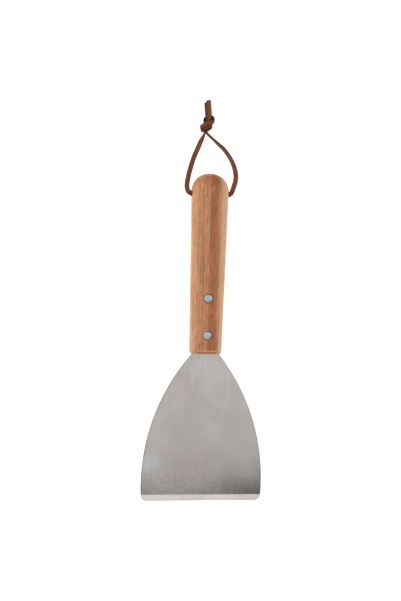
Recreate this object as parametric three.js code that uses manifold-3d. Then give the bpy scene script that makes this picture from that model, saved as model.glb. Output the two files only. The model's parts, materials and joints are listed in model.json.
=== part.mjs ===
// Grill spatula: a flared steel blade whose tang is riveted into a saw kerf in a wooden handle,
// with a leather lanyard tied through a cross-hole near the butt.
//
// Millimetres, +Z up. The tool lies on a table at z = 0, as it comes to rest by itself: on the blade's
// edge and on the handle's front lower corner, with the butt a little raised. +Y points along the
// handle to the butt, and the origin is the middle of the footprint of handle and blade.

import * as THREE from 'three';
import { mergeVertices } from 'three/addons/utils/BufferGeometryUtils.js';
import Module from 'manifold-3d';

const wasm = await Module();
wasm.setup();

// ---------------------------------------------------------------- driving dimensions

// The tool's own frame: y = 0 is the handle's blade end, +Y runs to the butt, z = 0 is mid-thickness.
const HANDLE = {
  length: 153.2,
  thickness: 20,
  buttWidth: 31.9,
  frontWidth: 27.1,
  flatWidth: 17, // the flat on the upper and lower face
  chamferDrop: 6.5, // how far the long chamfers run down the sides
  arrisRound: 2.4,
  domeLength: 15,
  endBevel: { length: 2.7, side: 0.5, face: 2.2 },
};
const BLADE = {
  length: 125.2,
  halfWidth: 51.7,
  thickness: 1.5,
  sideRadius: 169,
  widestAt: 109.5, // from the handle, where the sides run parallel
  cornerRadius: 4.7,
  bevelLength: 5.7,
  edgeThickness: 0.4,
  wornLand: 0.6, // the lower arris of the edge, worn level where it slides over a surface
};
const TANG = { length: 62, endHalfWidth: 10, cornerRadius: 3 };
const RIVET = {
  stations: [15.6, 46.8],
  headRadius: 3.45,
  headThickness: 1.05,
  headSink: 0.05,
  crown: 0.25,
  tubeRadius: 2.3,
  tubeBore: 1.6,
  tubeTop: 5.5,
  tubeFloor: -7.5,
  shankRadius: 1.3,
  shankEnd: -6.5,
};
const COUNTERBORE_RADIUS = 3.95;
const LACE_HOLE = { fromButt: 17.6, radius: 3.25 };
const LACE = { width: 4.2, thickness: 1.6 };
const GAP = 0.3; // between pieces that touch
const ROUND = 24; // sides of a round hole or rivet

// Centreline of the lace from the knot down the left leg, through the cross-hole and up the right
// leg, counted from the middle of the cross-hole.
const LOOP_ROUTE = [
  [-4.4, 55.8, -15.4],
  [-6.0, 50.6, -15.0],
  [-8.2, 45.0, -14.2],
  [-10.7, 39.2, -12.8],
  [-13.1, 33.2, -10.8],
  [-15.0, 27.3, -8.5],
  [-16.8, 21.4, -6.1],
  [-18.3, 15.6, -3.9],
  [-19.4, 10.0, -2.0],
  [-19.7, 5.4, -0.8],
  [-18.7, 1.8, -0.1],
  [-16.2, 0.2, 0],
  [-12.0, 0, 0],
  [-4.0, 0, 0],
  [4.0, 0, 0],
  [12.0, 0, 0],
  [16.2, 0.3, 0],
  [18.8, 2.4, -0.2],
  [20.3, 6.3, -0.9],
  [21.7, 10.4, -2.1],
  [22.8, 14.5, -3.5],
  [23.2, 18.5, -5.0],
  [22.9, 22.6, -6.6],
  [22.2, 26.6, -8.2],
  [20.9, 31.0, -10.0],
  [18.9, 35.5, -11.6],
  [16.2, 40.1, -13.0],
  [12.9, 44.2, -14.1],
  [9.0, 47.8, -14.8],
  [5.2, 51.2, -15.1],
  [1.2, 55.2, -15.4],
];
const KNOT = { x: -1.0, y: 64.9, width: 13, length: 14.6, height: 8.6, endRadius: 4.9 };
const TAIL_UPPER = [
  [0.3, 72.7, -12.7],
  [0.3, 77.4, -14.2],
  [0.2, 81.6, -15.5],
  [0.0, 86.7, -16.4],
];
const TAIL_LOWER = [
  [-0.8, 72.7, -14.9],
  [-1.0, 77.4, -16.6],
  [-1.2, 81.4, -17.9],
  [-1.3, 85.3, -18.4],
];

const COLOURS = {
  wood: new THREE.MeshStandardMaterial({ color: 0xbd8560, roughness: 0.55, metalness: 0 }),
  steel: new THREE.MeshStandardMaterial({ color: 0xaeaaa5, roughness: 0.38, metalness: 1 }),
  rivet: new THREE.MeshStandardMaterial({ color: 0xa9b2ba, roughness: 0.3, metalness: 1 }),
  leather: new THREE.MeshStandardMaterial({ color: 0x70402a, roughness: 0.6, metalness: 0 }),
};

// ---------------------------------------------------------------- helpers

// A closed geometry as a manifold-3d solid.
function solid(geometry) {
  const bare = geometry.index ? geometry.toNonIndexed() : geometry.clone();
  bare.deleteAttribute('normal');
  bare.deleteAttribute('uv');
  const merged = mergeVertices(bare, 1e-4);
  return new wasm.Manifold(new wasm.Mesh({
    numProp: 3,
    vertProperties: merged.attributes.position.array,
    triVerts: new Uint32Array(merged.index.array),
  }));
}

// A manifold-3d solid as a geometry.
function geometryOf(body) {
  const mesh = body.getMesh();
  const geometry = new THREE.BufferGeometry();
  geometry.setAttribute('position', new THREE.BufferAttribute(mesh.vertProperties, 3));
  geometry.setIndex(new THREE.BufferAttribute(mesh.triVerts, 1));
  geometry.computeVertexNormals();
  return geometry;
}

function piece(name, geometry, material) {
  const mesh = new THREE.Mesh(geometry, material);
  mesh.name = name;
  return mesh;
}

// A cylinder along Z between two heights.
function post(radius, bottom, top, x, y) {
  const geometry = new THREE.CylinderGeometry(radius, radius, top - bottom, ROUND);
  geometry.rotateX(Math.PI / 2);
  geometry.translate(x, y, (bottom + top) / 2);
  return geometry;
}

// A turned piece: the profile's points are (radius, height) and its axis becomes Z.
function turned(profile) {
  const geometry = new THREE.LatheGeometry(profile.map(([r, h]) => new THREE.Vector2(r, h)), ROUND);
  geometry.rotateX(Math.PI / 2);
  return geometry;
}

// ---------------------------------------------------------------- handle

// Octagon with softened arrises, drawn at the butt's full width.
function handleSection() {
  const halfWidth = HANDLE.buttWidth / 2;
  const halfHeight = HANDLE.thickness / 2;
  const halfFlat = HANDLE.flatWidth / 2;
  const sideHeight = halfHeight - HANDLE.chamferDrop;
  const corners = [
    [halfWidth, -sideHeight], [halfWidth, sideHeight], [halfFlat, halfHeight], [-halfFlat, halfHeight],
    [-halfWidth, sideHeight], [-halfWidth, -sideHeight], [-halfFlat, -halfHeight], [halfFlat, -halfHeight],
  ].map(([x, z]) => new THREE.Vector2(x, z));
  const shape = new THREE.Shape();
  corners.forEach((corner, i) => {
    const before = corners[(i + 7) % 8].clone().sub(corner).setLength(HANDLE.arrisRound);
    const after = corners[(i + 1) % 8].clone().sub(corner).setLength(HANDLE.arrisRound);
    const start = corner.clone().add(before);
    const end = corner.clone().add(after);
    if (i === 0) shape.moveTo(start.x, start.y);
    else shape.lineTo(start.x, start.y);
    shape.quadraticCurveTo(corner.x, corner.y, end.x, end.y);
  });
  shape.closePath();
  return shape;
}

// Where the section stands along the handle, and how much it shrinks there, sideways and in height.
function handleStations() {
  const { length, side, face } = HANDLE.endBevel;
  const stations = [
    { y: 0, across: 1 - (2 * side) / HANDLE.frontWidth, up: 1 - (2 * face) / HANDLE.thickness },
    { y: length, across: 1, up: 1 },
  ];
  const domeStart = HANDLE.length - HANDLE.domeLength;
  const shaftSteps = 5;
  for (let i = 1; i <= shaftSteps; i++) {
    stations.push({ y: THREE.MathUtils.lerp(length, domeStart, i / shaftSteps), across: 1, up: 1 });
  }
  for (const degrees of [14, 28, 41, 53, 64, 74, 82, 87]) {
    const angle = THREE.MathUtils.degToRad(degrees);
    stations.push({
      y: domeStart + HANDLE.domeLength * Math.sin(angle),
      across: Math.cos(angle),
      up: Math.cos(angle),
    });
  }
  return stations;
}

// The flat keeps its width along the handle, and the chamfers beside it narrow towards the blade.
function narrowed(x, y) {
  const halfFlat = HANDLE.flatWidth / 2;
  if (Math.abs(x) <= halfFlat) return x;
  const domeStart = HANDLE.length - HANDLE.domeLength;
  const width = THREE.MathUtils.lerp(HANDLE.frontWidth, HANDLE.buttWidth, Math.min(y / domeStart, 1));
  const stretch = (width - HANDLE.flatWidth) / (HANDLE.buttWidth - HANDLE.flatWidth);
  return Math.sign(x) * (halfFlat + (Math.abs(x) - halfFlat) * stretch);
}

// The section is extruded with one step for each station, and then each step moves to its station.
function handleBlank() {
  const stations = handleStations();
  const steps = stations.length - 1;
  const geometry = new THREE.ExtrudeGeometry(handleSection(), {
    depth: steps, steps, curveSegments: 3, bevelEnabled: false,
  });
  const position = geometry.attributes.position;
  for (let i = 0; i < position.count; i++) {
    const station = stations[Math.round(position.getZ(i))];
    const x = narrowed(position.getX(i), station.y) * station.across;
    position.setXYZ(i, -x, station.y, position.getY(i) * station.up);
  }
  return geometry;
}

function laceHoleY() {
  return HANDLE.length - LACE_HOLE.fromButt;
}

// The tilt at which the blade's worn land and the handle's lower front corner touch one table.
function restTilt() {
  const run = BLADE.length - BLADE.wornLand + HANDLE.endBevel.length;
  return Math.atan2((HANDLE.thickness - BLADE.thickness) / 2, run);
}

function handle() {
  const kerfEnd = TANG.length + 1.5;
  const kerf = new THREE.BoxGeometry(60, kerfEnd + 5, BLADE.thickness + 2 * GAP);
  kerf.translate(0, (kerfEnd - 5) / 2, 0);
  const laceHole = new THREE.CylinderGeometry(LACE_HOLE.radius, LACE_HOLE.radius, 60, ROUND);
  laceHole.rotateZ(Math.PI / 2);
  laceHole.translate(0, laceHoleY(), 0);
  let body = solid(handleBlank()).subtract(solid(kerf)).subtract(solid(laceHole));
  const face = HANDLE.thickness / 2;
  const floor = face - RIVET.headSink - RIVET.headThickness - GAP;
  for (const y of RIVET.stations) {
    body = body.subtract(solid(post(RIVET.tubeRadius + GAP, -face - 1, face + 1, 0, y)));
    body = body.subtract(solid(post(COUNTERBORE_RADIUS, floor, face + 1, 0, y)));
    body = body.subtract(solid(post(COUNTERBORE_RADIUS, -face - 1, -floor, 0, y)));
  }
  return piece('handle', geometryOf(body), COLOURS.wood);
}

// ---------------------------------------------------------------- blade

// Points along an arc of a circle.
function arc(x, y, radius, from, to, steps) {
  return Array.from({ length: steps + 1 }, (_, i) => {
    const angle = THREE.MathUtils.lerp(from, to, i / steps);
    return new THREE.Vector2(x + radius * Math.cos(angle), y + radius * Math.sin(angle));
  });
}

// Plan of the blade with its tang: each side is one long arc, and the corners are rounded.
function bladeOutline() {
  const { length, halfWidth, sideRadius, widestAt, cornerRadius } = BLADE;
  const arcX = halfWidth - sideRadius; // centre of the right side's arc
  const neckAngle = Math.asin(widestAt / sideRadius);
  const cornerY = -length + cornerRadius;
  const cornerAngle = Math.asin((cornerY + widestAt) / (sideRadius - cornerRadius));
  const cornerX = arcX + (sideRadius - cornerRadius) * Math.cos(cornerAngle);
  const roundX = TANG.endHalfWidth - TANG.cornerRadius;
  const roundY = TANG.length - TANG.cornerRadius;
  const right = [
    ...arc(roundX, roundY, TANG.cornerRadius, Math.PI / 2, 0, 6),
    ...arc(arcX, -widestAt, sideRadius, neckAngle, cornerAngle, 30),
    ...arc(cornerX, cornerY, cornerRadius, cornerAngle, -Math.PI / 2, 8).slice(1),
  ];
  const left = right.map(({ x, y }) => new THREE.Vector2(-x, y)).reverse();
  const outline = new THREE.Shape([...right, ...left]);
  for (const y of RIVET.stations) {
    outline.holes.push(new THREE.Path(arc(0, y, RIVET.tubeRadius + GAP, 0, 2 * Math.PI, ROUND)));
  }
  return outline;
}

// A wedge right across the blade, from its corners in the YZ plane.
function wedgeAcross(corners) {
  const wedge = new THREE.Shape(corners.map(([y, z]) => new THREE.Vector2(y, z)));
  const geometry = new THREE.ExtrudeGeometry(wedge, { depth: 140, bevelEnabled: false });
  geometry.rotateY(Math.PI / 2);
  geometry.rotateX(Math.PI / 2);
  geometry.translate(-70, 0, 0);
  return geometry;
}

// What grinding takes off the upper face along the edge.
function bevelCut() {
  const top = BLADE.thickness / 2;
  const tip = -BLADE.length;
  const slope = (BLADE.thickness - BLADE.edgeThickness) / BLADE.bevelLength;
  return wedgeAcross([
    [tip + BLADE.bevelLength + 3, top + 3 * slope],
    [tip - 3, top - (BLADE.bevelLength + 3) * slope],
    [tip - 3, top + 3 * slope],
  ]);
}

// What the table wears off the lower face: a land as wide as wornLand, parallel to the table.
function wornCut() {
  const bottom = -BLADE.thickness / 2;
  const tip = -BLADE.length;
  const slope = Math.tan(restTilt());
  return wedgeAcross([
    [tip + BLADE.wornLand + 3, bottom - 3 * slope],
    [tip - 3, bottom + (BLADE.wornLand + 3) * slope],
    [tip - 3, bottom - 3 * slope],
  ]);
}

function blade() {
  const plate = new THREE.ExtrudeGeometry(bladeOutline(), { depth: BLADE.thickness, bevelEnabled: false });
  plate.translate(0, 0, -BLADE.thickness / 2);
  const body = solid(plate).subtract(solid(bevelCut())).subtract(solid(wornCut()));
  return piece('blade', geometryOf(body), COLOURS.steel);
}

// ---------------------------------------------------------------- rivets

// Crowned head, as profile points from the axis out, with its top at the given height.
function headProfile(top) {
  const { headRadius, headThickness, crown } = RIVET;
  return [
    [0, top],
    [headRadius * 0.5, top - crown * 0.22],
    [headRadius - 0.45, top - crown],
    [headRadius, top - crown - 0.45],
    [headRadius, top - headThickness],
  ];
}

// Male half: its head shows on the upper face, and its shank is pressed into the female half.
function rivetMale(name, y) {
  const top = HANDLE.thickness / 2 - RIVET.headSink;
  const profile = [
    ...headProfile(top),
    [RIVET.shankRadius, top - RIVET.headThickness],
    [RIVET.shankRadius, RIVET.shankEnd + 0.5],
    [RIVET.shankRadius - 0.5, RIVET.shankEnd],
    [0, RIVET.shankEnd],
  ].reverse();
  const mesh = piece(name, turned(profile), COLOURS.rivet);
  mesh.position.y = y;
  return mesh;
}

// Female half: its head shows on the lower face, and its tube runs up through the tang.
function rivetFemale(name, y) {
  const top = HANDLE.thickness / 2 - RIVET.headSink;
  const profile = [
    ...headProfile(top),
    [RIVET.tubeRadius, top - RIVET.headThickness],
    [RIVET.tubeRadius, -RIVET.tubeTop],
    [RIVET.tubeBore, -RIVET.tubeTop],
    [RIVET.tubeBore, -RIVET.tubeFloor],
    [0, -RIVET.tubeFloor],
  ].reverse();
  const mesh = piece(name, turned(profile), COLOURS.rivet);
  mesh.rotation.y = Math.PI;
  mesh.position.y = y;
  return mesh;
}

// ---------------------------------------------------------------- lanyard

// Section of the lace, with its corners taken off.
function laceSection(across, up) {
  const x = across / 2;
  const y = up / 2;
  const cut = 0.5;
  const corners = [
    [x, y - cut], [x - cut, y], [cut - x, y], [-x, y - cut],
    [-x, cut - y], [cut - x, -y], [x - cut, -y], [x, cut - y],
  ];
  return new THREE.Shape(corners.map((corner) => new THREE.Vector2(...corner)));
}

// Lace laid along a route. The section decides which way the flat faces.
function lace(name, route, section) {
  const curve = new THREE.CatmullRomCurve3(route.map((point) => new THREE.Vector3(...point)));
  const stepLength = 3.5;
  const geometry = new THREE.ExtrudeGeometry(section, {
    steps: Math.round(curve.getLength() / stepLength), extrudePath: curve, bevelEnabled: false,
  });
  return piece(name, geometry, COLOURS.leather);
}

// The outer shape of the overhand knot: a flattened barrel along Y that rests on the table.
function laceKnot(table) {
  const halfLength = KNOT.length / 2;
  const halfWidth = KNOT.width / 2;
  const profile = [
    [0, -halfLength],
    [KNOT.endRadius, -halfLength],
    [halfWidth * 0.96, -halfLength * 0.55],
    [halfWidth, 0],
    [halfWidth * 0.96, halfLength * 0.55],
    [KNOT.endRadius, halfLength],
    [0, halfLength],
  ].map(([r, y]) => new THREE.Vector2(r, y));
  const geometry = new THREE.LatheGeometry(profile, ROUND);
  geometry.scale(1, 1, KNOT.height / KNOT.width);
  geometry.translate(KNOT.x, KNOT.y, table + KNOT.height / 2 + 0.1);
  return piece('lace_knot', geometry, COLOURS.leather);
}

// ---------------------------------------------------------------- assembly

function tool() {
  const group = new THREE.Group();
  group.add(handle(), blade());
  RIVET.stations.forEach((y, i) => {
    group.add(rivetMale(`rivet_${i + 1}_male`, y), rivetFemale(`rivet_${i + 1}_female`, y));
  });
  group.rotation.x = restTilt();
  const box = new THREE.Box3().setFromObject(group, true);
  group.position.set(0, -(box.min.y + box.max.y) / 2, -box.min.z);
  group.updateMatrixWorld(true);
  return group;
}

function lanyard(holeCentre) {
  const group = new THREE.Group();
  group.position.copy(holeCentre);
  group.add(
    lace('lace_loop', LOOP_ROUTE, laceSection(LACE.thickness, LACE.width)),
    laceKnot(-holeCentre.z),
    lace('lace_tail_upper', TAIL_UPPER, laceSection(LACE.width, LACE.thickness)),
    lace('lace_tail_lower', TAIL_LOWER, laceSection(LACE.width, LACE.thickness)),
  );
  return group;
}

const spatula = new THREE.Group();
const lyingTool = tool();
const holeCentre = lyingTool.localToWorld(new THREE.Vector3(0, laceHoleY(), 0));
spatula.add(lyingTool, lanyard(holeCentre));

export default spatula;
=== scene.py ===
"""Grill spatula with a riveted wooden handle and a leather lanyard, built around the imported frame."""
import json
import math

import bmesh
import bpy
from mathutils import Matrix, Vector


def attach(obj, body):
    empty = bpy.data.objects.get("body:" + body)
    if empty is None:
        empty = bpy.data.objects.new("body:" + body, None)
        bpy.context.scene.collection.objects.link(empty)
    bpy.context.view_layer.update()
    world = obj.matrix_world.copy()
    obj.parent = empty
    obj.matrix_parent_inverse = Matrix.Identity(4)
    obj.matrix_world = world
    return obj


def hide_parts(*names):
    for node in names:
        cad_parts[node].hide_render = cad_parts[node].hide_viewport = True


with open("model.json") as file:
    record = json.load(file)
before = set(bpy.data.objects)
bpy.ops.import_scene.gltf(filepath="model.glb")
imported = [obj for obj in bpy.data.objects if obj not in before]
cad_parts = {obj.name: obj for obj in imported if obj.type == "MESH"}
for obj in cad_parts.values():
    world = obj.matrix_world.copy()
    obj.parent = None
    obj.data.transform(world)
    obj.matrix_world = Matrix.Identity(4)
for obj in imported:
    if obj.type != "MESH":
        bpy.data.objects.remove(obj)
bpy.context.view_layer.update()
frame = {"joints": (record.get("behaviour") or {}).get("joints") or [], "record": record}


# ---------------------------------------------------------------- sizes, in metres

MM = 0.001

HANDLE_LENGTH = 153.2 * MM
HANDLE_THICKNESS = 20 * MM
BUTT_WIDTH = 31.9 * MM
FRONT_WIDTH = 27.1 * MM
FLAT_WIDTH = 17 * MM
CHAMFER_DROP = 6.5 * MM
ARRIS_ROUND = 2.4 * MM
DOME_LENGTH = 15 * MM
END_BEVEL = {"length": 2.7 * MM, "side": 0.5 * MM, "face": 2.2 * MM}
END_SOFTENING = 0.2 * MM
LACE_HOLE = {"from_butt": 17.6 * MM, "radius": 3.25 * MM, "flare": 0.8 * MM}

BLADE_LENGTH = 125.2 * MM
BLADE_HALF_WIDTH = 51.7 * MM
BLADE_THICKNESS = 1.5 * MM
SIDE_RADIUS = 169 * MM
WIDEST_AT = 109.5 * MM  # from the handle, where the sides run parallel
CORNER_RADIUS = 4.7 * MM
GRIND_LENGTH = 5.7 * MM
GRIND_START = -BLADE_LENGTH + GRIND_LENGTH
EDGE_THICKNESS = 0.4 * MM
WORN_LAND = 0.6 * MM
UPPER_RIM = {"inset": 0.22 * MM, "height": 0.12 * MM}
LOWER_RIM = {"inset": 0.11 * MM, "height": 0.1 * MM}
TANG = {"length": 62 * MM, "end_half_width": 10 * MM, "corner_radius": 3 * MM}
KERF = {"slack": 0.1 * MM, "past_tang": 1.5 * MM}

RIVET_STATIONS = (15.6 * MM, 46.8 * MM)
RIVET_HOLE_RADIUS = 2.4 * MM
COUNTERBORE = {"radius": 3.95 * MM, "depth": 1.4 * MM}
RIVET_HEAD = {"radius": 3.45 * MM, "thickness": 1.05 * MM, "sink": 0.05 * MM}
PUNCH_MARK = {"radius": 0.9 * MM, "depth": 0.14 * MM}
SHANK = {"radius": 1.3 * MM, "end": -6.5 * MM, "chamfer": 0.5 * MM}
TUBE = {"radius": 2.3 * MM, "bore": 1.6 * MM, "end": -5.5 * MM, "floor": 7.5 * MM}

LACE_WIDTH = 4.2 * MM
LACE_THICKNESS = 1.6 * MM

OUTSIDE = 30 * MM  # where cutters end, clear of the handle
ROUND = 48  # sides of a drilled hole


# ---------------------------------------------------------------- the tool's own frame

# y = 0 is the handle's blade end, +Y runs to the butt, z = 0 is mid-thickness.
hinge = Vector(frame["joints"][0]["pos_m"])
upper_face = next(m for m in frame["record"]["mounts"] if m["name"] == "upper_face")
TILT = math.atan2(-upper_face["axis"][1], upper_face["axis"][2])
HOLE_Y = HANDLE_LENGTH - LACE_HOLE["from_butt"]
TOOL = (
    Matrix.Translation(hinge)
    @ Matrix.Rotation(TILT, 4, "X")
    @ Matrix.Translation((0, -HOLE_Y, 0))
)


# ---------------------------------------------------------------- camera

def make_camera():
    """Square to the tool along its length, a little to its left, the tool leaning clockwise."""
    sideways = math.radians(9.0)
    roll = math.radians(1.74)
    distance = 0.70
    picture_height = 510.85 * MM  # what the picture takes in at that distance
    target = Vector((-5.36 * MM, 45 * MM, 0))
    back = Vector((-math.sin(sideways), 0, math.cos(sideways)))
    level_right = Vector((math.cos(sideways), 0, math.sin(sideways)))
    level_up = Vector((0, 1, 0))
    right = level_right * math.cos(roll) + level_up * math.sin(roll)
    up = level_up * math.cos(roll) - level_right * math.sin(roll)
    data = bpy.data.cameras.new("camera")
    data.sensor_width = 36
    data.lens = distance / picture_height * data.sensor_width
    data.clip_start = 0.05
    data.clip_end = 20
    camera = bpy.data.objects.new("camera", data)
    turn = Matrix((right, up, back)).transposed().to_4x4()
    camera.matrix_world = TOOL @ Matrix.Translation(target + back * distance) @ turn
    bpy.context.scene.collection.objects.link(camera)
    bpy.context.scene.camera = camera


# ---------------------------------------------------------------- mesh helpers

def add_object(name, mesh, place=Matrix.Identity(4)):
    obj = bpy.data.objects.new(name, mesh)
    bpy.context.scene.collection.objects.link(obj)
    obj.matrix_world = place
    return obj


def add_piece(name, mesh, material, body, cad_nodes, place=Matrix.Identity(4)):
    """A visible piece that rides on a CAD body and stands for one or more CAD nodes."""
    mesh.materials.clear()
    mesh.materials.append(material)
    piece = add_object(name, mesh, place)
    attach(piece, body)
    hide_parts(*cad_nodes)
    return piece


def mesh_from(name, points, faces):
    mesh = bpy.data.meshes.new(name)
    mesh.from_pydata([tuple(p) for p in points], [], faces)
    mesh.validate()
    return mesh


def outward(mesh):
    """Turns every face of a closed mesh to point out."""
    bm = bmesh.new()
    bm.from_mesh(mesh)
    bmesh.ops.recalc_face_normals(bm, faces=bm.faces)
    bm.to_mesh(mesh)
    bm.free()
    return mesh


def skin(rings):
    """The faces between closed rings of equally many points, numbered ring by ring."""
    count = len(rings[0])
    faces = []
    for i in range(len(rings) - 1):
        for j in range(count):
            k = (j + 1) % count
            faces.append((i * count + j, i * count + k, (i + 1) * count + k, (i + 1) * count + j))
    return faces


def loft(name, rings):
    """A closed solid through rings of equally many points."""
    count = len(rings[0])
    points = [p for ring in rings for p in ring]
    start = tuple(range(count))
    end = tuple(range(len(points) - count, len(points)))
    return outward(mesh_from(name, points, [*skin(rings), start, end]))


def turned(name, profile, sides=64):
    """A turned solid about Z from (radius, height) points. Both ends of the profile lie on the axis."""
    rings = []
    for radius, height in profile[1:-1]:
        angles = (2 * math.pi * j / sides for j in range(sides))
        rings.append([(radius * math.cos(a), radius * math.sin(a), height) for a in angles])
    points = [p for ring in rings for p in ring]
    start, end = len(points), len(points) + 1
    points += [(0, 0, profile[0][1]), (0, 0, profile[-1][1])]
    faces = skin(rings)
    last_ring = (len(rings) - 1) * sides
    for j in range(sides):
        k = (j + 1) % sides
        faces.append((start, j, k))
        faces.append((end, last_ring + k, last_ring + j))
    return outward(mesh_from(name, points, faces))


def box_mesh(name, low, high):
    points = [(x, y, z) for z in (low[2], high[2]) for y in (low[1], high[1]) for x in (low[0], high[0])]
    faces = [(0, 2, 3, 1), (4, 5, 7, 6), (0, 1, 5, 4), (2, 6, 7, 3), (0, 4, 6, 2), (1, 3, 7, 5)]
    return mesh_from(name, points, faces)


def soften(mesh, degrees):
    """Smooth shading that stays sharp over edges steeper than this."""
    mesh.shade_smooth()
    mesh.set_sharp_from_angle(angle=math.radians(degrees))


def without_slivers(mesh):
    """Splits many-sided faces into triangles and takes out the ones with no area."""
    bm = bmesh.new()
    bm.from_mesh(mesh)
    bmesh.ops.triangulate(bm, faces=[face for face in bm.faces if len(face.verts) > 4])
    bmesh.ops.dissolve_degenerate(bm, dist=0.001 * MM, edges=bm.edges)
    bmesh.ops.triangulate(bm, faces=[face for face in bm.faces if len(face.verts) > 4])
    bm.to_mesh(mesh)
    bm.free()
    return mesh


def cut(mesh, cutters):
    """The mesh with each cutter's solid taken away."""
    body = add_object("cut_body", mesh)
    tools = []
    for i, cutter in enumerate(cutters):
        tool = add_object(f"cutter_{i}", cutter)
        modifier = body.modifiers.new(f"cut_{i}", "BOOLEAN")
        modifier.operation = "DIFFERENCE"
        modifier.solver = "EXACT"
        modifier.object = tool
        tools.append(tool)
    bpy.context.view_layer.update()
    evaluated = body.evaluated_get(bpy.context.evaluated_depsgraph_get())
    result = bpy.data.meshes.new_from_object(evaluated)
    for obj in (body, *tools):
        bpy.data.objects.remove(obj)
    return result


def spline(points, steps):
    """Catmull-Rom curve through points, with the same number of steps between each two."""
    ends = [points[0] * 2 - points[1], *points, points[-1] * 2 - points[-2]]
    made = []
    for i in range(1, len(ends) - 2):
        a, b, c, d = ends[i - 1 : i + 3]
        slope = c - a
        square = 2 * a - 5 * b + 4 * c - d
        cube = 3 * b - a - 3 * c + d
        for s in range(steps):
            t = s / steps
            made.append(0.5 * (2 * b + slope * t + square * t**2 + cube * t**3))
    made.append(points[-1].copy())
    return made


# ---------------------------------------------------------------- shader helpers

class Nodes:
    """A material's node tree, with one short call for each node."""

    def __init__(self, name):
        self.material = bpy.data.materials.new(name)
        self.material.use_nodes = True
        self.tree = self.material.node_tree
        self.tree.nodes.clear()
        self.output = self.add("ShaderNodeOutputMaterial")

    def add(self, kind, inputs=None, **settings):
        node = self.tree.nodes.new(kind)
        for key, value in settings.items():
            setattr(node, key, value)
        for key, value in (inputs or {}).items():
            self.give(node.inputs[key], value)
        return node

    def give(self, socket, value):
        if isinstance(value, bpy.types.NodeSocket):
            self.tree.links.new(value, socket)
        else:
            socket.default_value = value

    def math(self, operation, a, b=0.0):
        return self.add("ShaderNodeMath", {0: a, 1: b}, operation=operation).outputs[0]

    def plus(self, first, *others):
        for other in others:
            first = self.math("ADD", first, other)
        return first

    def minus(self, a, b):
        return self.math("SUBTRACT", a, b)

    def times(self, first, *others):
        for other in others:
            first = self.math("MULTIPLY", first, other)
        return first

    def less(self, share):
        """What is left of one when this share is taken away."""
        return self.minus(1.0, share)

    def size(self, value):
        return self.math("ABSOLUTE", value)

    def span(self, value, low, high, new_low=0.0, new_high=1.0):
        """The value mapped from one range to another, and held there."""
        node = self.add("ShaderNodeMapRange", clamp=True, interpolation_type="SMOOTHSTEP")
        for socket, number in zip(node.inputs, (value, low, high, new_low, new_high)):
            self.give(socket, number)
        return node.outputs[0]

    def coordinates(self, kind):
        return self.add("ShaderNodeTexCoord").outputs[kind]

    def in_tool(self):
        """Where a point lies in the tool's own frame, although its mesh is in the world's."""
        back = TOOL.inverted()
        inputs = {
            "Vector": self.coordinates("Object"),
            "Location": tuple(back.to_translation()),
            "Rotation": tuple(back.to_euler()),
        }
        return self.add("ShaderNodeMapping", inputs).outputs["Vector"]

    def axes(self, vector):
        """The vector's X, Y and Z, by name."""
        return self.add("ShaderNodeSeparateXYZ", {"Vector": vector}).outputs

    def vector_math(self, operation, a, b):
        return self.add("ShaderNodeVectorMath", {0: a, 1: b}, operation=operation).outputs

    def noise(self, vector, scales, detail=2.0, roughness=0.5):
        """Noise with its own scale along each axis: the larger, the finer."""
        stretched = self.vector_math("MULTIPLY", vector, scales)[0]
        inputs = {"Vector": stretched, "Scale": 1.0, "Detail": detail, "Roughness": roughness}
        return self.add("ShaderNodeTexNoise", inputs).outputs["Fac"]

    def ramp(self, value, stops):
        """Colours along a value, as (position, colour) stops."""
        node = self.add("ShaderNodeValToRGB")
        elements = node.color_ramp.elements
        while len(elements) < len(stops):
            elements.new(0.5)
        for element, (position, colour) in zip(elements, stops):
            element.position = position
            element.color = colour
        self.give(node.inputs["Fac"], value)
        return node.outputs["Color"]

    def blend(self, share, a, b):
        """Colour a, with this share of colour b in it."""
        node = self.add("ShaderNodeMix", data_type="RGBA")
        colour_a, colour_b, mixed = node.inputs[6], node.inputs[7], node.outputs[2]
        self.give(node.inputs["Factor"], share)
        self.give(colour_a, a)
        self.give(colour_b, b)
        return mixed

    def scaled(self, colour, factor):
        node = self.add("ShaderNodeVectorMath", operation="SCALE")
        self.give(node.inputs[0], colour)
        self.give(node.inputs["Scale"], factor)
        return node.outputs[0]

    def deepened(self, colour, tone):
        """The colour scaled by a tone, and more saturated where that makes it darker."""
        green, blue = self.math("POWER", tone, 1.3), self.math("POWER", tone, 1.6)
        tones = self.add("ShaderNodeCombineXYZ", {"X": tone, "Y": green, "Z": blue}).outputs[0]
        return self.vector_math("MULTIPLY", colour, tones)[0]

    def bump(self, height, distance, strength):
        node = self.add("ShaderNodeBump", {"Height": height, "Distance": distance, "Strength": strength})
        return node.outputs["Normal"]

    def surface(self, **inputs):
        node = self.add("ShaderNodeBsdfPrincipled", {k.replace("_", " "): v for k, v in inputs.items()})
        self.tree.links.new(node.outputs[0], self.output.inputs["Surface"])
        return self.material


def srgb(red, green, blue):
    """A colour as it looks on a screen, from 0 to 255, in the linear numbers that a shader takes."""
    def linear(v):
        v /= 255
        return v / 12.92 if v <= 0.04045 else ((v + 0.055) / 1.055) ** 2.4
    return (linear(red), linear(green), linear(blue), 1)


# ---------------------------------------------------------------- wood

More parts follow.
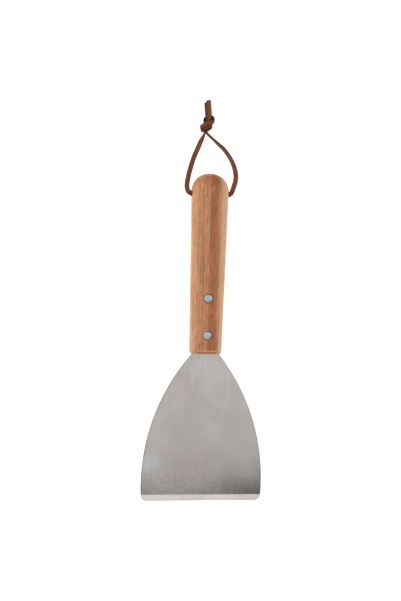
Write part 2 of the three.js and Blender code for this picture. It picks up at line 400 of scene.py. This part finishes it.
# Growth layers across the handle: how far from its middle in millimetres, and the colour there.
WOOD_LAYERS = (
    (-18, (194, 147, 108)),
    (-13.5, (190, 140, 96)),
    (-11.5, (182, 130, 87)),
    (-9.4, (162, 110, 78)),
    (-8.3, (162, 108, 75)),
    (-6.8, (184, 130, 91)),
    (-2.5, (180, 126, 87)),
    (-0.6, (184, 130, 90)),
    (-0.1, (156, 97, 61)),
    (3.0, (154, 97, 62)),
    (6.6, (166, 108, 71)),
    (8.4, (178, 126, 87)),
    (9.4, (206, 158, 113)),
    (13, (215, 172, 132)),
    (18, (216, 182, 148)),
)


def across_layers(n, place):
    """Where a point lies across the growth layers, which lean a little and wander along the handle."""
    axes = n.axes(place)
    leaned = n.times(n.minus(axes["Z"], HANDLE_THICKNESS / 2), 0.25)
    wander = n.times(n.minus(n.noise(place, (18, 5, 18)), 0.5), 1.4 * MM)
    return n.plus(axes["X"], leaned, wander)


def wood_colour(n, place, across):
    """The colour of the growth layers, with flushes of orange."""
    reach = WOOD_LAYERS[-1][0] * MM
    share = n.math("DIVIDE", n.plus(across, reach), 2 * reach)
    stops = [((mm * MM + reach) / (2 * reach), srgb(*colour)) for mm, colour in WOOD_LAYERS]
    flush = n.span(n.noise(place, (110, 45, 110)), 0.45, 0.7, 0.0, 0.35)
    return n.blend(flush, n.ramp(share, stops), srgb(196, 118, 76))


def wood_grain(n, place):
    """Noises drawn out along the handle, from broad bands to single pores."""
    return {
        "broad": n.noise(place, (330, 9, 330)),
        "streak": n.noise(place, (760, 20, 760), roughness=0.6),
        "fleck": n.noise(place, (1000, 120, 1000), roughness=0.55),
        "fibre": n.noise(place, (2600, 120, 2600), roughness=0.6),
        "pore": n.span(n.noise(place, (1500, 170, 1500), detail=1.0, roughness=0.4), 0.62, 0.7),
    }


def wood_tone(n, place, across, grain):
    """How much the grain makes the wood lighter or darker than its layer."""
    tone = n.times(
        n.span(grain["broad"], 0.3, 0.7, 0.94, 1.06),
        n.span(grain["streak"], 0.3, 0.7, 0.86, 1.14),
        n.span(grain["fleck"], 0.35, 0.65, 0.88, 1.12),
        n.span(grain["fibre"], 0.25, 0.75, 0.9, 1.1),
        n.less(n.times(grain["pore"], 0.28)),
    )
    # The pale layers show less grain, and end grain takes up more oil.
    calmer = n.span(across, 8.5 * MM, 10 * MM, 0.0, 0.5)
    tone = n.plus(tone, n.times(n.less(tone), calmer))
    end_grain = n.span(n.axes(place)["Y"], HANDLE_LENGTH - 15 * MM, HANDLE_LENGTH - 4 * MM, 0.95, 0.76)
    return n.times(tone, end_grain)


def marked_wood(n, place, colour, tone):
    """The wood with its pale arrises and the marks at the blade end."""
    axes = n.axes(place)
    from_middle = n.size(axes["X"])
    behind = n.minus(axes["Y"], END_BEVEL["length"])
    on_flat = n.span(from_middle, FLAT_WIDTH / 2 + 0.3 * MM, FLAT_WIDTH / 2 - 0.5 * MM)
    # Short dark pores open just behind the bevel.
    dashes = n.span(n.noise(place, (760, 75, 760), detail=1.0, roughness=0.4), 0.56, 0.64)
    dashes = n.times(dashes, n.span(behind, 9 * MM, 5 * MM))
    tone = n.times(tone, n.less(n.times(dashes, 0.3)))
    # Cut across the grain, the bevel is a richer orange.
    on_bevel = n.times(n.span(behind, 0.2 * MM, -0.6 * MM), on_flat)
    colour = n.blend(n.times(on_bevel, 0.75), colour, srgb(186, 108, 58))
    # The bevel's edge is paler, and less so the long arrises.
    edge = n.times(n.span(n.size(behind), 0.8 * MM, 0.2 * MM), on_flat)
    arris = n.span(n.size(n.minus(from_middle, FLAT_WIDTH / 2)), 1.0 * MM, 0.2 * MM)
    pale = n.math("MAXIMUM", n.times(arris, 0.16), n.times(edge, 0.6))
    return n.blend(pale, n.deepened(colour, tone), srgb(218, 172, 132))


def wood_material():
    """Oiled hardwood: growth layers that stand nearly upright and run along the handle."""
    n = Nodes("oiled_hardwood")
    place = n.in_tool()
    across = across_layers(n, place)
    grain = wood_grain(n, place)
    tone = wood_tone(n, place, across, grain)
    height = n.minus(n.times(grain["fibre"], 0.5), grain["pore"])
    return n.surface(
        Base_Color=marked_wood(n, place, wood_colour(n, place, across), tone),
        Roughness=n.span(grain["streak"], 0.3, 0.7, 0.46, 0.58),
        Normal=n.bump(height, 0.05 * MM, 0.5),
        Specular_IOR_Level=0.05,
        Coat_Weight=0.7,
        Coat_Roughness=0.13,
    )


# ---------------------------------------------------------------- metal

def oval(n, axes, x, y, half_width, half_length):
    """1 in the middle of an oval patch of the blade, falling to 0 at its rim. All in millimetres."""
    right = n.math("DIVIDE", n.minus(axes["X"], x * MM), half_width * MM)
    ahead = n.math("DIVIDE", n.minus(axes["Y"], y * MM), half_length * MM)
    return n.span(n.plus(n.times(right, right), n.times(ahead, ahead)), 1.0, 0.0)


def steel_colour(n, place, axes, cloud):
    """Cloudy grey with two brownish smudges on the left, and one painted bluish reflection at the left
    side.
    """
    colour = n.blend(n.span(cloud, 0.3, 0.7), srgb(202, 196, 191), srgb(215, 210, 206))
    smudge = n.span(n.noise(place, (38, 44, 20)), 0.35, 0.65, 0.25, 0.9)
    in_front = oval(n, axes, -18, -97, 30, 16)
    behind = n.times(oval(n, axes, -19, -22, 10, 14), 0.7)
    stained = n.times(n.math("MAXIMUM", in_front, behind), smudge)
    colour = n.blend(stained, colour, srgb(200, 188, 181))
    # A painted reflection: a bluish light patch near the left side of the blade.
    painted_reflection = n.times(oval(n, axes, -48, -93, 17, 9), 0.4)
    return n.blend(painted_reflection, colour, srgb(226, 230, 236))


def painted_rim_shade(n, axes):
    """Painted shade along the rim of the curved sides, darker on the left one."""
    out = n.plus(n.size(axes["X"]), SIDE_RADIUS - BLADE_HALF_WIDTH)
    along = n.plus(axes["Y"], WIDEST_AT)
    from_centre = n.math("SQRT", n.plus(n.times(out, out), n.times(along, along)))
    rim = n.span(n.minus(SIDE_RADIUS, from_centre), 1.3 * MM, 0.2 * MM)
    return n.times(rim, n.span(axes["X"], -20 * MM, 20 * MM, 0.36, 0.22))


def steel_tone(n, place, axes):
    """How much the marks of brushing and grinding make the steel lighter or darker, with painted shade
    towards the bevel, along the curved rims and on the cut edge.
    """
    on_face = n.span(axes["Y"], GRIND_START, GRIND_START + 0.1 * MM)
    brushed = n.span(n.noise(place, (2300, 60, 400)), 0.3, 0.7, 0.97, 1.03)
    # The last third has coarser marks, and they are weak on the bevel.
    ground = n.span(axes["Y"], -72 * MM, -114 * MM)
    grit = n.span(n.noise(place, (1150, 560, 400), roughness=0.6), 0.35, 0.65, -1.0, 1.0)
    tone = n.plus(brushed, n.times(grit, ground, n.span(on_face, 0.0, 1.0, 0.03, 0.1)))
    # Painted shade: the face is painted darker towards the bevel, most of all at its right end.
    painted_shade = n.plus(
        n.span(axes["X"], -10 * MM, 50 * MM, 0.19, 0.42),
        n.span(axes["X"], -24 * MM, -50 * MM, 0.0, 0.1),
    )
    painted_shade = n.times(painted_shade, n.span(axes["Y"], -98 * MM, -121 * MM))
    tone = n.minus(tone, n.times(n.plus(painted_shade, painted_rim_shade(n, axes)), on_face))
    # Painted shade: the cut edge all round, where the surface turns away from up, is painted darker than
    # the faces.
    upright = n.size(n.axes(n.coordinates("Normal"))["Z"])
    return n.times(tone, n.span(upright, 0.97, 0.75, 1.0, 0.45))


def steel_material():
    """Sheet steel brushed along the blade, so that a light is drawn out across it."""
    n = Nodes("brushed_steel")
    place = n.in_tool()
    axes = n.axes(place)
    cloud = n.noise(place, (30, 30, 20), detail=3.0)
    to_world = {"vector_type": "VECTOR", "convert_from": "OBJECT", "convert_to": "WORLD"}
    across = n.add("ShaderNodeVectorTransform", {"Vector": (1, 0, 0)}, **to_world).outputs[0]
    return n.surface(
        Base_Color=n.scaled(steel_colour(n, place, axes, cloud), steel_tone(n, place, axes)),
        Metallic=1.0,
        Roughness=n.span(cloud, 0.3, 0.7, 0.17, 0.2),
        Anisotropic=0.6,
        Tangent=across,
    )


def rivet_material():
    n = Nodes("rivet_steel")
    scuff = n.noise(n.coordinates("Object"), (900, 900, 900), detail=3.0, roughness=0.6)
    return n.surface(
        Base_Color=n.blend(n.span(scuff, 0.35, 0.65), srgb(178, 189, 196), srgb(198, 207, 213)),
        Metallic=1.0,
        Roughness=n.span(scuff, 0.3, 0.7, 0.28, 0.42),
    )


# ---------------------------------------------------------------- leather and table

def leather_material():
    """Brown leather, blotched and grained, with dark cut edges."""
    n = Nodes("brown_leather")
    place = n.coordinates("Object")
    grain = n.noise(place, (1400, 1400, 1400), detail=3.0, roughness=0.6)
    blotch = n.noise(place, (160, 160, 160))
    from_middle = n.axes(n.coordinates("UV"))["X"]
    colour = n.blend(n.span(blotch, 0.3, 0.7), srgb(102, 55, 30), srgb(122, 70, 38))
    colour = n.blend(n.span(grain, 0.45, 0.75, 0.0, 0.5), colour, srgb(84, 42, 24))
    colour = n.blend(n.span(from_middle, 0.72, 0.98), colour, srgb(52, 28, 20))
    height = n.plus(grain, n.times(blotch, 0.4))
    return n.surface(
        Base_Color=colour,
        Roughness=n.span(grain, 0.3, 0.7, 0.5, 0.68),
        Normal=n.bump(height, 0.08 * MM, 0.6),
        Specular_IOR_Level=0.2,
    )


def table_material():
    """White and a little bright by itself, so that the picture's background stays white."""
    n = Nodes("white_table")
    unevenness = n.noise(n.coordinates("Object"), (3, 3, 3))
    return n.surface(
        Base_Color=n.blend(unevenness, (0.88, 0.88, 0.88, 1), (0.9, 0.9, 0.9, 1)),
        Roughness=0.9,
        Emission_Color=(1, 1, 1, 1),
        Emission_Strength=0.52,
    )


# ---------------------------------------------------------------- lace

# Centreline from the knot down the left leg, through the cross-hole and up the right leg, counted
# from the middle of the cross-hole, in millimetres.
LOOP_ROUTE = [
    (-4.4, 55.8, -15.4), (-6.0, 50.6, -15.0), (-8.2, 45.0, -14.2), (-10.7, 39.2, -12.8),
    (-13.1, 33.2, -10.8), (-15.0, 27.3, -8.5), (-16.8, 21.4, -6.1), (-18.3, 15.6, -3.9),
    (-19.4, 10.0, -2.0), (-19.7, 5.4, -0.8), (-18.7, 1.8, -0.1), (-16.2, 0.2, 0), (-12.0, 0, 0),
    (-4.0, 0, 0), (4.0, 0, 0), (12.0, 0, 0), (16.2, 0.3, 0), (18.8, 2.4, -0.2), (20.3, 6.3, -0.9),
    (21.7, 10.4, -2.1), (22.8, 14.5, -3.5), (23.2, 18.5, -5.0), (22.9, 22.6, -6.6),
    (22.2, 26.6, -8.2), (20.9, 31.0, -10.0), (18.9, 35.5, -11.6), (16.2, 40.1, -13.0),
    (12.9, 44.2, -14.1), (9.0, 47.8, -14.8), (5.2, 51.2, -15.1), (1.2, 55.2, -15.4),
]
TAIL_UPPER = [(0.3, 72.7, -12.7), (0.3, 77.4, -14.2), (0.2, 81.6, -15.5), (0.0, 86.7, -16.4)]
TAIL_LOWER = [(-0.8, 72.7, -14.9), (-1.0, 77.4, -16.6), (-1.2, 81.4, -17.9), (-1.3, 85.3, -18.4)]
TAIL_LOOKS = (0.1, 0.15, 1)
# The overhand knot that both strands make together, from its middle: a point between the strands,
# which way their faces look there, and how far each is moved sideways from that point. It goes up
# inside, over to the right behind the tails, down across the front, round the back and up again
# through the middle.
KNOT_CENTRE = (-1.0, 64.9, -14.7)
KNOT = [
    ((-1.3, -7.6, -0.2), (-1, 0, 0), 0.0),
    ((-1.4, -3.8, 0.0), (-1, 0, 0), 0.0),
    ((-1.5, 0.2, -0.3), (-1, 0.1, 0), 0.0),
    ((-2.1, 3.7, -1.2), (-0.85, 0.5, -0.2), 0.1),
    ((0.3, 6.6, -2.0), (0, 1, -0.1), 0.3),
    ((4.0, 5.9, -1.1), (0.85, 0.5, -0.2), 0.3),
    ((4.7, 2.3, 1.0), (0.9, -0.3, 0.3), 0.5),
    ((0.6, -1.4, 3.2), (0.1, 0.1, 1), 1.2),
    ((-4.2, -3.7, 1.6), (-0.8, -0.25, 0.6), 0.9),
    ((-4.1, -4.9, -1.5), (-0.7, -0.2, -0.7), 0.3),
    ((0.1, -3.9, -3.3), (0, -0.1, -1), 0.2),
    ((3.2, -1.0, -2.0), (0.85, 0, -0.5), 0.0),
    ((1.3, 1.6, 0.2), (0.5, 0, 0.85), 0.0),
    ((0.8, 4.6, 1.6), (0, 0.1, 1), 0.4),
]
KNOT_LAYER = 0.72  # from the point between the strands to the middle of each, in millimetres
# Both legs lie flat at the handle. Before the knot they turn up on edge, by these degrees.
LEFT_TURNS = [5, 18, 45]
RIGHT_TURNS = [12, 22, 35, 48, 58, 66, 74, 80, 85, 90]
STEPS = 5  # of the spline, from each point of a route to the next
PINCH_STEPS = 8  # over which the knot squeezes a strand to its full pinch
PINCH = {"width": 0.14, "thickness": 0.16}
CUT_SLANT = 0.25


def from_hole(point):
    return hinge + Vector(point) * MM


def strand_route(leg, last_turns, side, tail):
    """The strand's centreline and the direction its face looks, from mid-handle to its cut end."""
    turns = [0] * (len(leg) - len(last_turns)) + last_turns
    points, faces = [], []
    for point, turn in zip(leg, turns):
        angle = math.radians(turn)
        points.append(from_hole(point))
        faces.append(Vector((-math.sin(angle), 0, math.cos(angle))))
    for i, (point, face, sideways) in enumerate(KNOT):
        looks = Vector(face).normalized()
        before, after = KNOT[max(i - 1, 0)][0], KNOT[min(i + 1, len(KNOT) - 1)][0]
        beside = (Vector(after) - Vector(before)).cross(looks).normalized()
        shift = (looks * KNOT_LAYER + beside * sideways) * side
        points.append(from_hole(Vector(KNOT_CENTRE) + Vector(point) + shift))
        faces.append(looks)
    for point in tail:
        points.append(from_hole(point))
        faces.append(Vector(TAIL_LOOKS).normalized())
    return spline(points, STEPS), spline(faces, STEPS)


def lace_section(half_width, half_thickness):
    """Rounded rectangle as (across, up) points."""
    sides = 20
    squareness = 0.42
    section = []
    for j in range(sides):
        angle = 2 * math.pi * (j + 0.5) / sides
        c, s = math.cos(angle), math.sin(angle)
        across = math.copysign(abs(c) ** squareness, c) * half_width
        up = math.copysign(abs(s) ** squareness, s) * half_thickness
        section.append((across, up))
    return section


def lace_rings(line, looks, knot_start, knot_end):
    """Rings along the lace, and for each point how far it is from the middle line and how far along."""
    rings, places = [], []
    last = len(line) - 1
    for i, centre in enumerate(line):
        along = (line[min(i + 1, last)] - line[max(i - 1, 0)]).normalized()
        up = (looks[i] - along * looks[i].dot(along)).normalized()
        across = along.cross(up)
        pinch = max(0.0, min(1.0, (i - knot_start) / PINCH_STEPS, (knot_end - i) / PINCH_STEPS))
        half_width = LACE_WIDTH / 2 * (1 - PINCH["width"] * pinch)
        half_thickness = LACE_THICKNESS / 2 * (1 - PINCH["thickness"] * pinch)
        slant = along * CUT_SLANT if i == last else Vector()
        section = lace_section(half_width, half_thickness)
        rings.append([centre + (across + slant) * a + up * b for a, b in section])
        places += [(abs(a) / half_width, i / last) for a, b in section]
    return rings, places


def add_flow(mesh, places):
    """A UV layer that tells the leather where it is on the lace."""
    layer = mesh.uv_layers.new(name="flow")
    for loop in mesh.loops:
        layer.data[loop.index].uv = places[loop.vertex_index]


def lace_strand(name, leg, last_turns, side, tail, tail_node, leather):
    """One half of the lace, from the middle of the cross-hole through the knot to its cut end."""
    line, looks = strand_route(leg, last_turns, side, tail)
    knot_start = (len(leg) - 1) * STEPS
    knot_end = knot_start + (len(KNOT) + 1) * STEPS
    rings, places = lace_rings(line, looks, knot_start, knot_end)
    mesh = loft(name, rings)
    add_flow(mesh, places)
    soften(mesh, 60)
    strand = add_piece(name, mesh, leather, "lanyard", ["lace_loop", "lace_knot", tail_node])


def make_lace():
    leather = leather_material()
    middle = LOOP_ROUTE.index((-4.0, 0, 0))
    left_leg = LOOP_ROUTE[middle:0:-1]
    right_leg = LOOP_ROUTE[middle + 1 : -1]
    lace_strand("leather_lace_left", left_leg, LEFT_TURNS, 1, TAIL_LOWER, "lace_tail_lower", leather)
    lace_strand("leather_lace_right", right_leg, RIGHT_TURNS, -1, TAIL_UPPER, "lace_tail_upper", leather)


# ---------------------------------------------------------------- handle

SHAFT_STEPS = 24
DOME_STEPS = 24


def toward(start, end, distance):
    return start + (end - start).normalized() * distance


def handle_section():
    """Octagon with rounded arrises, at the butt's width, as (x, z) points."""
    x, z = BUTT_WIDTH / 2, HANDLE_THICKNESS / 2
    flat, side = FLAT_WIDTH / 2, z - CHAMFER_DROP
    corners = [Vector(c) for c in (
        (x, -side), (x, side), (flat, z), (-flat, z), (-x, side), (-x, -side), (-flat, -z), (flat, -z),
    )]
    arris_steps = 6
    section = []
    for i, corner in enumerate(corners):
        following = corners[(i + 1) % len(corners)]
        start = toward(corner, corners[i - 1], ARRIS_ROUND)
        end = toward(corner, following, ARRIS_ROUND)
        for s in range(arris_steps + 1):
            t = s / arris_steps
            section.append(start * (1 - t) ** 2 + corner * (2 * t * (1 - t)) + end * t**2)
        # Points close to the arrises keep the flats between them flat.
        next_start = toward(following, corner, ARRIS_ROUND)
        section += [end.lerp(next_start, t) for t in (0.06, 0.5, 0.94)]
    return section


def bevel_stations():
    """From the softened edge of the blade end up the small bevel."""
    across = 1 - 2 * END_BEVEL["side"] / FRONT_WIDTH
    up = 1 - 2 * END_BEVEL["face"] / HANDLE_THICKNESS
    stations = []
    for t in (0.0, 0.5, 1.0):
        inset = (1 - t) ** 2 * END_SOFTENING
        stations.append((
            0.8 * END_SOFTENING * t**1.5,
            across * (1 - 2 * inset / FRONT_WIDTH),
            up * (1 - 2 * inset / HANDLE_THICKNESS),
        ))
    for t in (0.25, 0.55, 0.86, 0.94):
        stations.append((END_BEVEL["length"] * t, across + (1 - across) * t, up + (1 - up) * t))
    # The bevel's edge is rounded off, so there the section is a little short of full.
    stations.append((END_BEVEL["length"], 0.996, 0.988))
    stations.append((END_BEVEL["length"] + 2 * END_SOFTENING, 1, 1))
    return stations


def shaft_stations():
    """Many equal steps, so that the narrowing of the chamfers shades evenly."""
    start = END_BEVEL["length"] + 3 * END_SOFTENING
    end = HANDLE_LENGTH - DOME_LENGTH
    return [(start + (end - start) * i / SHAFT_STEPS, 1, 1) for i in range(1, SHAFT_STEPS + 1)]


def dome_stations():
    """A quarter ellipse that ends just short of the tip, closer together towards it."""
    stations = []
    for i in range(1, DOME_STEPS):
        angle = math.radians(89) * math.sin(math.pi / 2 * i / DOME_STEPS)
        share = math.cos(angle)
        stations.append((HANDLE_LENGTH - DOME_LENGTH * (1 - math.sin(angle)), share, share))
    return stations


def narrowed(x, y):
    """The flat keeps its width along the handle, and the chamfers narrow towards the blade."""
    half_flat = FLAT_WIDTH / 2
    if abs(x) <= half_flat:
        return x
    width = FRONT_WIDTH + (BUTT_WIDTH - FRONT_WIDTH) * min(y / (HANDLE_LENGTH - DOME_LENGTH), 1)
    stretch = (width - FLAT_WIDTH) / (BUTT_WIDTH - FLAT_WIDTH)
    return math.copysign(half_flat + (abs(x) - half_flat) * stretch, x)


def handle_blank():
    """The handle before it is sawn and drilled. A station says where it is along the handle, and how
    much of the full section it has across and up: (y, across, up)."""
    section = handle_section()
    rings = []
    for y, across, up in bevel_stations() + shaft_stations() + dome_stations():
        rings.append([(narrowed(p.x, y) * across, y, p.y * up) for p in section])
    return loft("handle_blank", rings)


def kerf_cutter():
    half_gap = BLADE_THICKNESS / 2 + KERF["slack"]
    low = (-OUTSIDE, -OUTSIDE, -half_gap)
    high = (OUTSIDE, TANG["length"] + KERF["past_tang"], half_gap)
    return box_mesh("kerf", low, high)


def bore_cutter():
    """The cross-hole for the lace, its mouths flared by a quarter round."""
    radius, flare = LACE_HOLE["radius"], LACE_HOLE["flare"]
    wide = radius + 4 * flare
    surface = BUTT_WIDTH / 2
    profile = [(0, -OUTSIDE), (wide, -OUTSIDE), (wide, -surface - 3 * flare)]
    for degrees in (0, 30, 60, 90):
        angle = math.radians(degrees)
        profile.append((
            radius + flare * (1 - math.sin(angle)), -surface + flare * (1 - math.cos(angle)),
        ))
    profile += [(r, -h) for r, h in reversed(profile)]
    bore = turned("bore", profile, ROUND)
    bore.transform(Matrix.Translation((0, HOLE_Y, 0)) @ Matrix.Rotation(math.pi / 2, 4, "Y"))
    return bore


def drill(y, lower_half):
    """A cutter for a rivet's hole, alike above and below mid-thickness."""
    upper_half = [(r, -h) for r, h in reversed(lower_half)]
    cutter = turned("drill", lower_half + upper_half, ROUND)
    cutter.transform(Matrix.Translation((0, y, 0)))
    return cutter


def make_handle():
    wide = COUNTERBORE["radius"]
    floor = -HANDLE_THICKNESS / 2 + COUNTERBORE["depth"]
    counterbored = [(0, -OUTSIDE), (wide, -OUTSIDE), (wide, floor), (RIVET_HOLE_RADIUS, floor)]
    drills = [drill(y, counterbored) for y in RIVET_STATIONS]
    mesh = without_slivers(cut(handle_blank(), [kerf_cutter(), bore_cutter(), *drills]))
    soften(mesh, 32)
    mesh.transform(TOOL)
    add_piece("wooden_handle", mesh, wood_material(), "tool", ["handle"])


# ---------------------------------------------------------------- blade

def arc(x, y, radius, start, end, steps):
    return [
        Vector((x + radius * math.cos(a), y + radius * math.sin(a)))
        for a in (start + (end - start) * i / steps for i in range(steps + 1))
    ]


def blade_outline():
    """Plan of the blade and its tang, from the tang's end down the right side and up the left."""
    arc_x = BLADE_HALF_WIDTH - SIDE_RADIUS
    neck = math.asin(WIDEST_AT / SIDE_RADIUS)
    corner_y = -BLADE_LENGTH + CORNER_RADIUS
    corner = math.asin((corner_y + WIDEST_AT) / (SIDE_RADIUS - CORNER_RADIUS))
    corner_x = arc_x + (SIDE_RADIUS - CORNER_RADIUS) * math.cos(corner)
    grind = math.asin((GRIND_START + WIDEST_AT) / SIDE_RADIUS)
    round_x = TANG["end_half_width"] - TANG["corner_radius"]
    round_y = TANG["length"] - TANG["corner_radius"]
    right = [
        *arc(round_x, round_y, TANG["corner_radius"], math.pi / 2, 0, 8),
        *arc(arc_x, -WIDEST_AT, SIDE_RADIUS, neck, grind, 90),
        *arc(arc_x, -WIDEST_AT, SIDE_RADIUS, grind, corner, 3)[1:],
        *arc(corner_x, corner_y, CORNER_RADIUS, corner, -math.pi / 2, 18)[1:],
    ]
    return right + [Vector((-p.x, p.y)) for p in reversed(right)]


def moved_in(outline, distance):
    """The clockwise outline with each point moved straight into the blade."""
    moved = []
    for i, point in enumerate(outline):
        along = (outline[(i + 1) % len(outline)] - outline[i - 1]).normalized()
        moved.append(point + Vector((along.y, -along.x)) * distance)
    return moved


def top_of_blade(y):
    slope = (BLADE_THICKNESS - EDGE_THICKNESS) / GRIND_LENGTH
    return BLADE_THICKNESS / 2 - max(0.0, GRIND_START - y) * slope


def bottom_of_blade(y):
    return -BLADE_THICKNESS / 2 + max(0.0, -BLADE_LENGTH + WORN_LAND - y) * math.tan(TILT)


def blade_rings():
    """The outline at each level of the two rounded rims, from the upper face to the lower one."""
    outline = blade_outline()
    rings = []
    for degrees in (90, 60, 30, 0):
        angle = math.radians(degrees)
        inset = UPPER_RIM["inset"] * (1 - math.cos(angle))
        drop = UPPER_RIM["height"] * (1 - math.sin(angle))
        rings.append([(p.x, p.y, top_of_blade(p.y) - drop) for p in moved_in(outline, inset)])
    for degrees in (0, 45, 90):
        angle = math.radians(degrees)
        inset = LOWER_RIM["inset"] * (1 - math.cos(angle))
        rise = LOWER_RIM["height"] * (1 - math.sin(angle))
        rings.append([(p.x, p.y, bottom_of_blade(p.y) + rise) for p in moved_in(outline, inset)])
    return rings


def blade_blank():
    """The blade before its tang is drilled. Its upper face is two faces, which meet at the bevel."""
    rings = blade_rings()
    points = [p for ring in rings for p in ring]
    count = len(rings[0])
    just_past = 0.001 * MM
    first = next(j for j in range(count) if points[j][1] < GRIND_START + just_past)
    last = count - 1 - first
    face = (*range(first + 1), *range(last, count))
    bevel = tuple(range(first, last + 1))
    bottom = tuple(range(len(points) - count, len(points)))
    return outward(mesh_from("blade_blank", points, [*skin(rings), face, bevel, bottom]))


def make_blade():
    straight = [(0, -OUTSIDE), (RIVET_HOLE_RADIUS, -OUTSIDE)]
    mesh = cut(blade_blank(), [drill(y, straight) for y in RIVET_STATIONS])
    soften(mesh, 8)
    mesh.transform(TOOL)
    add_piece("steel_blade", mesh, steel_material(), "tool", ["blade"])


# ---------------------------------------------------------------- rivets

def rivet_head(top):
    """Slightly crowned head with a rounded rim and a punch mark, as profile points from the axis."""
    crown = 0.2 * MM
    rim = 0.6 * MM
    mark, depth = PUNCH_MARK["radius"], PUNCH_MARK["depth"]
    radius = RIVET_HEAD["radius"]
    profile = [
        (0, top - depth),
        (mark * 0.5, top - depth * 0.8),
        (mark * 0.8, top - depth * 0.3),
        (mark, top),
    ]
    for share in (0.45, 0.6, 0.8, 0.93):
        profile.append(((radius - rim) * share, top - crown * share**2))
    for degrees in (90, 65, 40, 20, 0):
        angle = math.radians(degrees)
        profile.append((
            radius - rim * (1 - math.cos(angle)), top - crown - rim * (1 - math.sin(angle)),
        ))
    profile.append((radius, top - RIVET_HEAD["thickness"]))
    return profile


def male_profile(top):
    """A head with a shank, chamfered at its end."""
    radius, end, chamfer = SHANK["radius"], SHANK["end"], SHANK["chamfer"]
    under_head = top - RIVET_HEAD["thickness"]
    shank = [(radius, under_head), (radius, end + chamfer), (radius - chamfer, end), (0, end)]
    return rivet_head(top) + shank


def female_profile(top):
    """A head with a tube, bored up to a floor close under the head."""
    radius, bore, end, floor = TUBE["radius"], TUBE["bore"], TUBE["end"], TUBE["floor"]
    under_head = top - RIVET_HEAD["thickness"]
    tube = [(radius, under_head), (radius, end), (bore, end), (bore, floor), (0, floor)]
    return rivet_head(top) + tube


def make_rivets():
    steel = rivet_material()
    top = HANDLE_THICKNESS / 2 - RIVET_HEAD["sink"]
    halves = (
        ("male", male_profile(top), Matrix.Identity(4)),
        ("female", female_profile(top), Matrix.Rotation(math.pi, 4, "Y")),
    )
    for i, y in enumerate(RIVET_STATIONS, 1):
        for half, profile, turn in halves:
            name = f"rivet_{i}_{half}"
            mesh = turned(name, profile)
            soften(mesh, 35)
            place = TOOL @ Matrix.Translation((0, y, 0)) @ turn
            add_piece(f"turned_{name}", mesh, steel, "tool", [name], place)


# ---------------------------------------------------------------- stage

class WorldNodes(Nodes):
    """The same short calls for the world around the table."""

    def __init__(self, name):
        world = bpy.data.worlds.new(name)
        world.use_nodes = True
        bpy.context.scene.world = world
        self.tree = world.node_tree
        self.tree.nodes.clear()
        self.output = self.add("ShaderNodeOutputWorld")


def make_studio():
    """A white studio: soft boxes on both sides and in front, a dark gap between front and top."""
    n = WorldNodes("studio")
    way = n.coordinates("Generated")
    axes = n.axes(way)
    x, y, z = axes["X"], axes["Y"], axes["Z"]
    left_box = n.span(x, -0.30, -0.60, 0.715, 2.1)
    right_box = n.span(x, 0.36, 0.66, 0.0, 1.5)
    dim_back = n.span(y, 0.2, 0.6, 0.0, 0.3)
    light = n.minus(n.plus(left_box, right_box), dim_back)
    # The gap slants, and it is darker on the right.
    slanted = n.minus(y, n.times(n.minus(x, 0.16), 0.35))
    gap = n.times(n.span(slanted, -0.272, -0.342), n.span(y, -0.56, -0.46))
    depth = n.span(x, 0.06, 0.25, 0.42, 0.95)
    front_box = n.span(y, -0.5, -0.6, 0.0, 0.3)
    light = n.plus(n.times(light, n.less(n.times(gap, depth))), front_box)
    # One small lamp behind on the left makes the highlight on the butt.
    lamp = Vector((-0.52, 0.53, 0.66)).normalized()
    towards_lamp = n.vector_math("DOT_PRODUCT", way, tuple(lamp))["Value"]
    light = n.plus(light, n.span(towards_lamp, 0.972, 0.985, 0.0, 6.5))
    # It gets darker towards the horizon, so that the steel shows from the side too.
    light = n.times(light, n.span(z, 0.74, 0.4, 1.0, 0.42))
    background = n.add("ShaderNodeBackground", {"Color": (1, 1, 1, 1), "Strength": light})
    n.tree.links.new(background.outputs[0], n.output.inputs["Surface"])


def make_stage():
    size = 6
    corners = [(-size, -size, 0), (size, -size, 0), (size, size, 0), (-size, size, 0)]
    table = add_object("table_top", mesh_from("table_top", corners, [(0, 1, 2, 3)]))
    table.data.materials.append(table_material())
    make_studio()
    scene = bpy.context.scene
    scene.view_settings.view_transform = "Standard"
    scene.view_settings.look = "None"


make_camera()
make_lace()
make_handle()
make_blade()
make_rivets()
make_stage()
